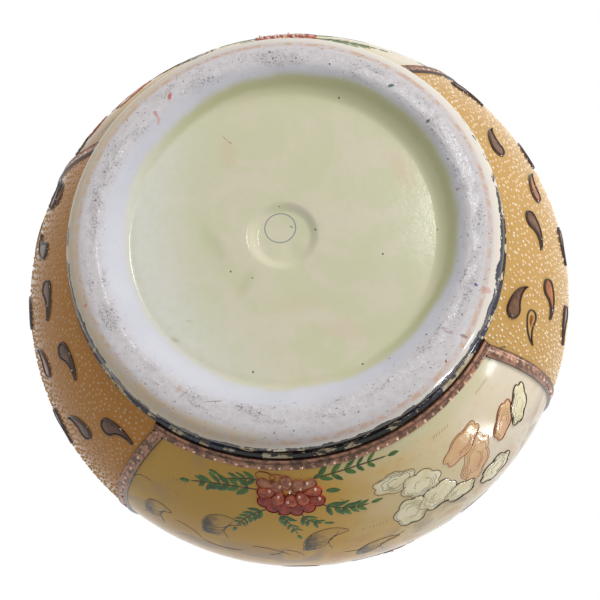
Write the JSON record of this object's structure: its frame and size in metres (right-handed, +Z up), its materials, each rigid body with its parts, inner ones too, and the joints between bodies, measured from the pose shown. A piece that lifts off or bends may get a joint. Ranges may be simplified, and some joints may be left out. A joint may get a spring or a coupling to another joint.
{
  "type": "covered rice bowl",
  "caption": "Round glazed rice bowl on a broad foot ring, with a domed lift-off lid, bud knob and raised enamel decoration.",
  "frame": {"origin": "centre of the foot's resting plane", "axes": "+Z up through the lid's knob, the front panel faces -Y"},
  "size_m": [0.1781, 0.177, 0.1553],
  "materials": {
    "painted_porcelain": "glazed, ochre ground with painted panels",
    "white_porcelain": "clear glaze, worn at the foot",
    "gilt_enamel": "gilt relief enamel, satin",
    "brown_enamel": "glossy raised enamel",
    "amber_enamel": "glossy raised enamel",
    "red_enamel": "glossy raised enamel"
  },
  "bodies": {
    "bowl": {"bowl_body": "painted_porcelain", "foot_ring": "white_porcelain", "foot_border": "gilt_enamel", "shoulder_border": "gilt_enamel", "front_left_strap": "gilt_enamel", "front_right_strap": "gilt_enamel", "back_left_strap": "gilt_enamel", "back_right_strap": "gilt_enamel", "left_enamel_leaves": "brown_enamel", "right_enamel_leaves": "brown_enamel", "left_amber_leaves": "amber_enamel", "right_amber_leaves": "amber_enamel", "front_blossom": "red_enamel", "back_blossom": "red_enamel"},
    "lid": {"lid_dome": "painted_porcelain", "lid_knob": "gilt_enamel", "knob_ring": "gilt_enamel", "lid_petals": "red_enamel", "lid_border": "gilt_enamel", "lid_front_left_strap": "gilt_enamel", "lid_front_right_strap": "gilt_enamel", "lid_back_left_strap": "gilt_enamel", "lid_back_right_strap": "gilt_enamel", "lid_enamel_leaves": "brown_enamel"}
  },
  "joints": [
    {"name": "lid_lift", "type": "slide", "parent": "bowl", "child": "lid", "axis": [0, 0, 1], "range_m": [0, 0.12]}
  ]
}
